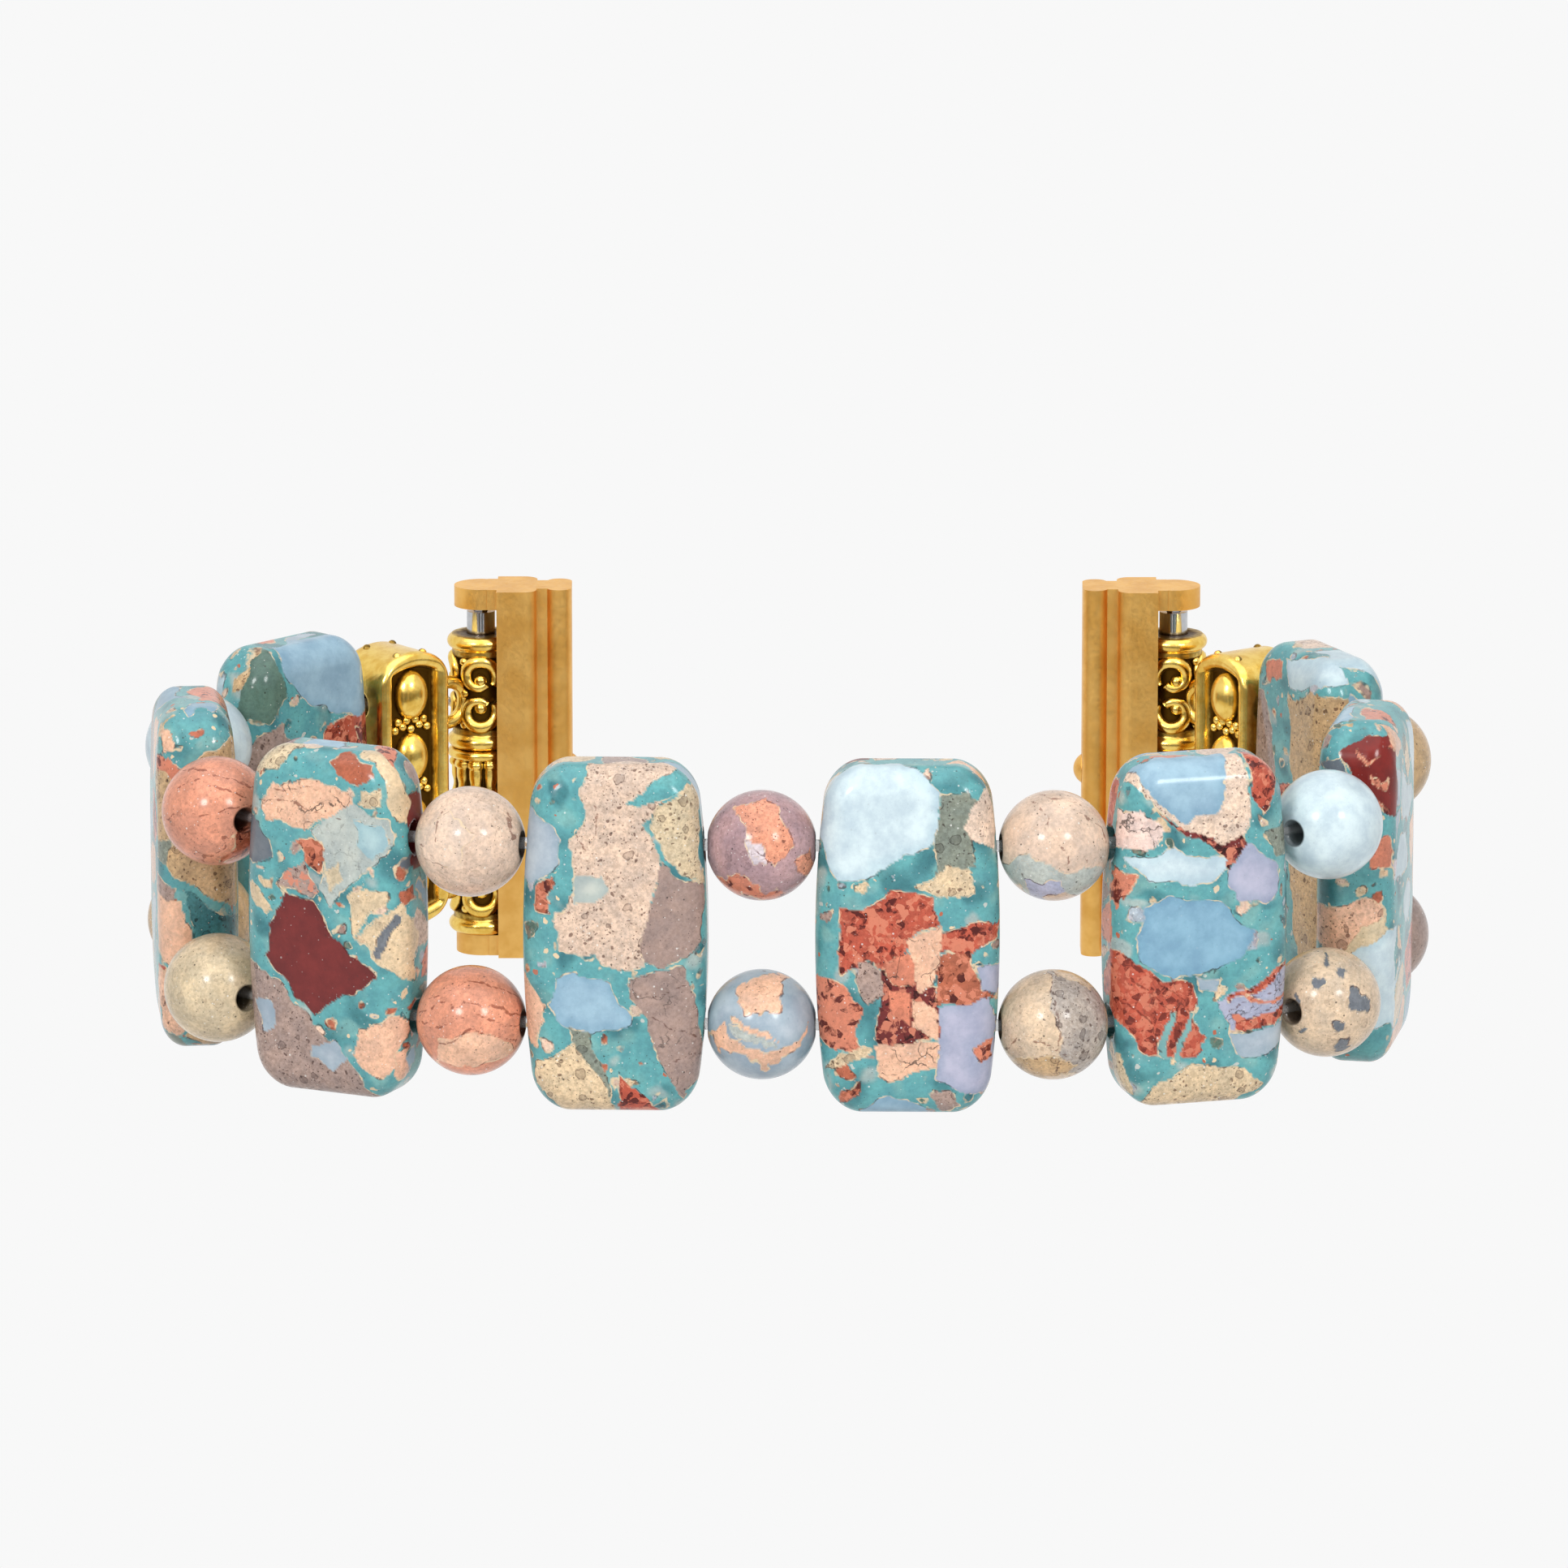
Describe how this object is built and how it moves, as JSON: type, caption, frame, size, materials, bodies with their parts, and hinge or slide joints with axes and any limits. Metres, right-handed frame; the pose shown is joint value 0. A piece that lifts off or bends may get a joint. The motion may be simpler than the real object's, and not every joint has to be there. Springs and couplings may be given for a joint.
{
  "type": "stretch watch band",
  "caption": "Elastic watch band of stone slabs and paired round beads, with cast spacer bars, looped bails, spring bars and slide-in lug adapters.",
  "frame": {"origin": "middle of the band's box in plan, at the height of the lug adapters' lower ears, on which it stands", "axes": "+Z across the band's width, upwards as it stands on its edge; the front slab faces -Y and the watch fits at +Y; +X to the right seen from the front"},
  "size_m": [0.0757, 0.0472, 0.0227],
  "materials": {
    "slab_stone": "polished",
    "bead_stone": "polished",
    "clear_elastic": "gloss",
    "antique_gold": "cast, bright on the high spots",
    "satin_gold": "satin, gold coloured",
    "bright_steel": "polished",
    "spring_steel": "drawn wire"
  },
  "bodies": {
    "slab_4": {"slab_4": "slab_stone", "elastic_cord_lower": "clear_elastic", "elastic_cord_upper": "clear_elastic"},
    "slab_1": {"slab_1": "slab_stone"},
    "slab_2": {"slab_2": "slab_stone"},
    "slab_3": {"slab_3": "slab_stone"},
    "slab_5": {"slab_5": "slab_stone"},
    "slab_6": {"slab_6": "slab_stone"},
    "slab_7": {"slab_7": "slab_stone"},
    "slab_8": {"slab_8": "slab_stone"},
    "round_lower_1": {"round_lower_1": "bead_stone"},
    "round_upper_1": {"round_upper_1": "bead_stone"},
    "round_lower_2": {"round_lower_2": "bead_stone"},
    "round_upper_2": {"round_upper_2": "bead_stone"},
    "round_lower_3": {"round_lower_3": "bead_stone"},
    "round_upper_3": {"round_upper_3": "bead_stone"},
    "round_lower_4": {"round_lower_4": "bead_stone"},
    "round_upper_4": {"round_upper_4": "bead_stone"},
    "round_lower_5": {"round_lower_5": "bead_stone"},
    "round_upper_5": {"round_upper_5": "bead_stone"},
    "round_lower_6": {"round_lower_6": "bead_stone"},
    "round_upper_6": {"round_upper_6": "bead_stone"},
    "round_lower_7": {"round_lower_7": "bead_stone"},
    "round_upper_7": {"round_upper_7": "bead_stone"},
    "left_spacer_bar": {"left_spacer_bar": "antique_gold"},
    "left_bails": {"left_lower_bail": "antique_gold", "left_upper_bail": "antique_gold"},
    "left_lug_adapter": {"left_lug_adapter": "satin_gold", "left_spring_bar_tube": "bright_steel", "left_spring_bar_spring": "spring_steel", "left_latch_spring": "spring_steel"},
    "left_middle_spool": {"left_middle_spool": "antique_gold"},
    "left_lower_bar_tip": {"left_lower_bar_tip": "bright_steel"},
    "left_upper_bar_tip": {"left_upper_bar_tip": "bright_steel"},
    "left_latch_button": {"left_latch_button": "bright_steel"},
    "right_spacer_bar": {"right_spacer_bar": "antique_gold"},
    "right_bails": {"right_lower_bail": "antique_gold", "right_upper_bail": "antique_gold"},
    "right_lug_adapter": {"right_lug_adapter": "satin_gold", "right_spring_bar_tube": "bright_steel", "right_spring_bar_spring": "spring_steel", "right_latch_spring": "spring_steel"},
    "right_middle_spool": {"right_middle_spool": "antique_gold"},
    "right_lower_bar_tip": {"right_lower_bar_tip": "bright_steel"},
    "right_upper_bar_tip": {"right_upper_bar_tip": "bright_steel"},
    "right_latch_button": {"right_latch_button": "bright_steel"}
  },
  "joints": [
    {"name": "stretch", "type": "slide", "parent": "slab_4", "child": "round_lower_4", "axis": [0.9994, -0.0349, 0], "range_m": [0, 0.0012], "stiffness_N_per_m": 2500, "springref_m": -0.0002, "deforming": ["elastic_cord_lower", "elastic_cord_upper"]},
    {"name": "bend_4", "type": "hinge", "parent": "round_lower_4", "child": "round_upper_4", "pos_m": [-0.00109, -0.02066, 0.01135], "axis": [0, 0, 1], "range_deg": [-21, 20], "deforming": ["elastic_cord_lower", "elastic_cord_upper"]},
    {"name": "stretch_4_outer", "type": "slide", "parent": "round_upper_4", "child": "slab_5", "axis": [0.9998, -0.0175, 0], "range_m": [0, 0.0012], "stiffness_N_per_m": 2500, "springref_m": -0.0002, "deforming": ["elastic_cord_lower", "elastic_cord_upper"]},
    {"name": "stretch_5_inner", "type": "slide", "parent": "slab_5", "child": "round_lower_5", "axis": [0.9998, -0.0175, 0], "range_m": [0, 0.0012], "stiffness_N_per_m": 2500, "springref_m": -0.0002, "deforming": ["elastic_cord_lower", "elastic_cord_upper"]},
    {"name": "bend_5", "type": "hinge", "parent": "round_lower_5", "child": "round_upper_5", "pos_m": [0.01551, -0.02071, 0.01135], "axis": [0, 0, 1], "range_deg": [-36.5, 20], "deforming": ["elastic_cord_lower", "elastic_cord_upper"]},
    {"name": "stretch_5_outer", "type": "slide", "parent": "round_upper_5", "child": "slab_6", "axis": [0.9636, 0.2672, 0], "range_m": [0, 0.0012], "stiffness_N_per_m": 2500, "springref_m": -0.0002, "deforming": ["elastic_cord_lower", "elastic_cord_upper"]},
    {"name": "stretch_6_inner", "type": "slide", "parent": "slab_6", "child": "round_lower_6", "axis": [0.9636, 0.2672, 0], "range_m": [0, 0.0012], "stiffness_N_per_m": 2500, "springref_m": -0.0002, "deforming": ["elastic_cord_lower", "elastic_cord_upper"]},
    {"name": "bend_6", "type": "hinge", "parent": "round_lower_6", "child": "round_upper_6", "pos_m": [0.03132, -0.0156, 0.01135], "axis": [0, 0, 1], "range_deg": [-83, 20], "deforming": ["elastic_cord_lower", "elastic_cord_upper"]},
    {"name": "stretch_6_outer", "type": "slide", "parent": "round_upper_6", "child": "slab_7", "axis": [0.1994, 0.9799, 0], "range_m": [0, 0.0012], "stiffness_N_per_m": 2500, "springref_m": -0.0002, "deforming": ["elastic_cord_lower", "elastic_cord_upper"]},
    {"name": "stretch_7_inner", "type": "slide", "parent": "slab_7", "child": "round_lower_7", "axis": [0.1994, 0.9799, 0], "range_m": [0, 0.0012], "stiffness_N_per_m": 2500, "springref_m": -0.0002, "deforming": ["elastic_cord_lower", "elastic_cord_upper"]},
    {"name": "bend_7", "type": "hinge", "parent": "round_lower_7", "child": "round_upper_7", "pos_m": [0.03501, 0.00059, 0.01135], "axis": [0, 0, 1], "range_deg": [-56.5, 20], "deforming": ["elastic_cord_lower", "elastic_cord_upper"]},
    {"name": "stretch_7_outer", "type": "slide", "parent": "round_upper_7", "child": "slab_8", "axis": [-0.4226, 0.9063, 0], "range_m": [0, 0.0012], "stiffness_N_per_m": 2500, "springref_m": -0.0002, "deforming": ["elastic_cord_lower", "elastic_cord_upper"]},
    {"name": "stretch_3_inner", "type": "slide", "parent": "slab_4", "child": "round_lower_3", "axis": [-0.9994, 0.0349, 0], "range_m": [0, 0.0012], "stiffness_N_per_m": 2500, "springref_m": -0.0002, "deforming": ["elastic_cord_lower", "elastic_cord_upper"]},
    {"name": "bend_3", "type": "hinge", "parent": "round_lower_3", "child": "round_upper_3", "pos_m": [-0.01767, -0.01973, 0.01135], "axis": [0, 0, 1], "range_deg": [-20, 43], "deforming": ["elastic_cord_lower", "elastic_cord_upper"]},
    {"name": "stretch_3_outer", "type": "slide", "parent": "round_upper_3", "child": "slab_3", "axis": [-0.9063, 0.4226, 0], "range_m": [0, 0.0012], "stiffness_N_per_m": 2500, "springref_m": -0.0002, "deforming": ["elastic_cord_lower", "elastic_cord_upper"]},
    {"name": "stretch_2_inner", "type": "slide", "parent": "slab_3", "child": "round_lower_2", "axis": [-0.9063, 0.4226, 0], "range_m": [0, 0.0012], "stiffness_N_per_m": 2500, "springref_m": -0.0002, "deforming": ["elastic_cord_lower", "elastic_cord_upper"]},
    {"name": "bend_2", "type": "hinge", "parent": "round_lower_2", "child": "round_upper_2", "pos_m": [-0.03248, -0.01223, 0.01135], "axis": [0, 0, 1], "range_deg": [-20, 79], "deforming": ["elastic_cord_lower", "elastic_cord_upper"]},
    {"name": "stretch_2_outer", "type": "slide", "parent": "round_upper_2", "child": "slab_2", "axis": [-0.1045, 0.9945, 0], "range_m": [0, 0.0012], "stiffness_N_per_m": 2500, "springref_m": -0.0002, "deforming": ["elastic_cord_lower", "elastic_cord_upper"]},
    {"name": "stretch_1_inner", "type": "slide", "parent": "slab_2", "child": "round_lower_1", "axis": [-0.1045, 0.9945, 0], "range_m": [0, 0.0012], "stiffness_N_per_m": 2500, "springref_m": -0.0002, "deforming": ["elastic_cord_lower", "elastic_cord_upper"]},
    {"name": "bend_1", "type": "hinge", "parent": "round_lower_1", "child": "round_upper_1", "pos_m": [-0.03436, 0.00426, 0.01135], "axis": [0, 0, 1], "range_deg": [-20, 69], "deforming": ["elastic_cord_lower", "elastic_cord_upper"]},
    {"name": "stretch_1_outer", "type": "slide", "parent": "round_upper_1", "child": "slab_1", "axis": [0.682, 0.7314, 0], "range_m": [0, 0.0012], "stiffness_N_per_m": 2500, "springref_m": -0.0002, "deforming": ["elastic_cord_lower", "elastic_cord_upper"]},
    {"name": "left_spacer_bend", "type": "hinge", "parent": "slab_1", "child": "left_spacer_bar", "pos_m": [-0.02547, 0.01491, 0.01135], "axis": [0, 0, 1], "range_deg": [-12, 25], "deforming": ["elastic_cord_lower", "elastic_cord_upper"]},
    {"name": "left_bail_swing", "type": "hinge", "parent": "left_spacer_bar", "child": "left_bails", "pos_m": [-0.02108, 0.01847, 0.01135], "axis": [0, 0, 1], "range_deg": [-30, 30], "deforming": ["elastic_cord_lower", "elastic_cord_upper"]},
    {"name": "left_adapter_swing", "type": "hinge", "parent": "left_bails", "child": "left_lug_adapter", "pos_m": [-0.01814, 0.02103, 0.01135], "axis": [0, 0, 1], "range_deg": [-54, 136]},
    {"name": "left_spool_turn", "type": "hinge", "parent": "left_lug_adapter", "child": "left_middle_spool", "pos_m": [-0.01814, 0.02103, 0.01135], "axis": [0, 0, 1], "continuous": true},
    {"name": "left_lower_bar_tip_press", "type": "slide", "parent": "left_lug_adapter", "child": "left_lower_bar_tip", "axis": [0, 0, 1], "range_m": [0, 0.0012], "stiffness_N_per_m": 1000, "springref_m": -0.001, "deforming": ["left_spring_bar_spring"]},
    {"name": "left_upper_bar_tip_press", "type": "slide", "parent": "left_lug_adapter", "child": "left_upper_bar_tip", "axis": [0, 0, -1], "range_m": [0, 0.0012], "stiffness_N_per_m": 1000, "springref_m": -0.001, "deforming": ["left_spring_bar_spring"]},
    {"name": "left_latch_press", "type": "slide", "parent": "left_lug_adapter", "child": "left_latch_button", "axis": [-1, 0, 0], "range_m": [0, 0.0005], "stiffness_N_per_m": 800, "springref_m": -0.0005, "deforming": ["left_latch_spring"]},
    {"name": "right_spacer_bend", "type": "hinge", "parent": "slab_8", "child": "right_spacer_bar", "pos_m": [0.02968, 0.01339, 0.01135], "axis": [0, 0, 1], "range_deg": [-25, 12], "deforming": ["elastic_cord_lower", "elastic_cord_upper"]},
    {"name": "right_bail_swing", "type": "hinge", "parent": "right_spacer_bar", "child": "right_bails", "pos_m": [0.0264, 0.01799, 0.01135], "axis": [0, 0, 1], "range_deg": [-30, 30], "deforming": ["elastic_cord_lower", "elastic_cord_upper"]},
    {"name": "right_adapter_swing", "type": "hinge", "parent": "right_bails", "child": "right_lug_adapter", "pos_m": [0.02371, 0.02082, 0.01135], "axis": [0, 0, 1], "range_deg": [-141.5, 48.5]},
    {"name": "right_spool_turn", "type": "hinge", "parent": "right_lug_adapter", "child": "right_middle_spool", "pos_m": [0.02371, 0.02082, 0.01135], "axis": [0, 0, 1], "continuous": true},
    {"name": "right_lower_bar_tip_press", "type": "slide", "parent": "right_lug_adapter", "child": "right_lower_bar_tip", "axis": [0, 0, 1], "range_m": [0, 0.0012], "stiffness_N_per_m": 1000, "springref_m": -0.001, "deforming": ["right_spring_bar_spring"]},
    {"name": "right_upper_bar_tip_press", "type": "slide", "parent": "right_lug_adapter", "child": "right_upper_bar_tip", "axis": [0, 0, -1], "range_m": [0, 0.0012], "stiffness_N_per_m": 1000, "springref_m": -0.001, "deforming": ["right_spring_bar_spring"]},
    {"name": "right_latch_press", "type": "slide", "parent": "right_lug_adapter", "child": "right_latch_button", "axis": [1, 0, 0], "range_m": [0, 0.0005], "stiffness_N_per_m": 800, "springref_m": -0.0005, "deforming": ["right_latch_spring"]}
  ],
  "couplings": [
    {"joint": "stretch_4_outer", "follows": "stretch", "ratio": 1},
    {"joint": "stretch_5_inner", "follows": "stretch", "ratio": 1},
    {"joint": "stretch_5_outer", "follows": "stretch", "ratio": 1},
    {"joint": "stretch_6_inner", "follows": "stretch", "ratio": 1},
    {"joint": "stretch_6_outer", "follows": "stretch", "ratio": 1},
    {"joint": "stretch_7_inner", "follows": "stretch", "ratio": 1},
    {"joint": "stretch_7_outer", "follows": "stretch", "ratio": 1},
    {"joint": "stretch_3_inner", "follows": "stretch", "ratio": 1},
    {"joint": "stretch_3_outer", "follows": "stretch", "ratio": 1},
    {"joint": "stretch_2_inner", "follows": "stretch", "ratio": 1},
    {"joint": "stretch_2_outer", "follows": "stretch", "ratio": 1},
    {"joint": "stretch_1_inner", "follows": "stretch", "ratio": 1},
    {"joint": "stretch_1_outer", "follows": "stretch", "ratio": 1}
  ]
}
